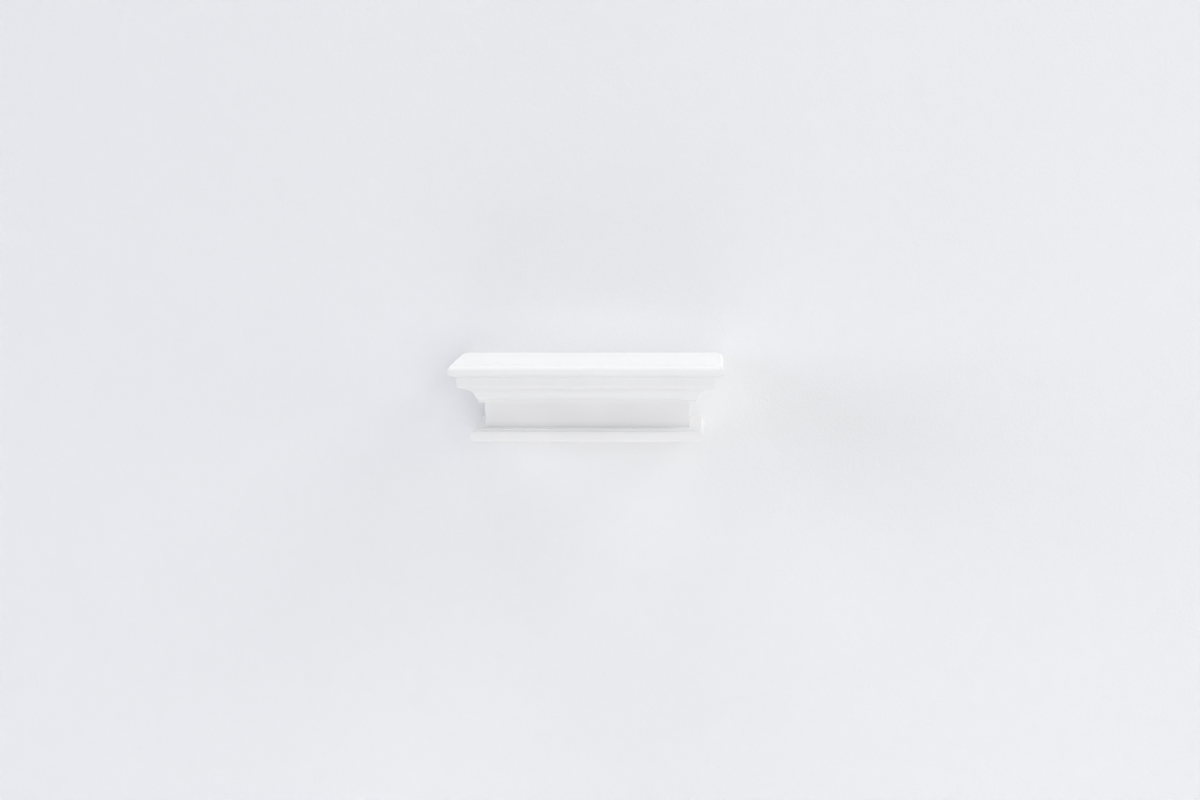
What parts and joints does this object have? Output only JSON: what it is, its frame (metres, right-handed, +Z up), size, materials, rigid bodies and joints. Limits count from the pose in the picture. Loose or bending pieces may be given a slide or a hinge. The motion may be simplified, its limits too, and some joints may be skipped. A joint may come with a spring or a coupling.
{
  "type": "floating wall shelf",
  "caption": "Small wall shelf in the form of a classical cornice, with moulded edges returned to the wall at both ends, that hooks onto a bevelled wall cleat.",
  "frame": {"origin": "on the wall plane, at the middle of the wall cleat's line of screw holes", "axes": "+Y into the wall, the shelf's front faces -Y, +Z up, +X to the right seen from the front"},
  "size_m": [0.4, 0.19, 0.1155],
  "materials": {
    "white_paint": "satin white paint",
    "bare_board": "bare fibreboard",
    "softwood": "planed softwood",
    "zinc_steel": "zinc plated"
  },
  "bodies": {
    "wall_mount": {"wall_cleat": "softwood"},
    "shelf": {"top_board": "white_paint", "sub_top": "bare_board", "front_board": "white_paint", "left_side_board": "white_paint", "right_side_board": "white_paint", "bottom_panel": "white_paint", "crown_front": "white_paint", "crown_left_return": "white_paint", "crown_right_return": "white_paint", "base_front": "white_paint", "base_left_return": "white_paint", "base_right_return": "white_paint", "hanging_rail": "softwood", "lower_rail": "softwood", "corner_blocks": "softwood", "crown_blocks": "softwood", "top_screws": "zinc_steel", "hanger_screws": "zinc_steel", "side_screws": "zinc_steel", "crown_pins": "zinc_steel", "base_pins": "zinc_steel"}
  },
  "joints": [
    {"name": "lift_off", "type": "slide", "parent": "wall_mount", "child": "shelf", "axis": [0, 0, 1], "range_m": [0, 0.014]}
  ]
}
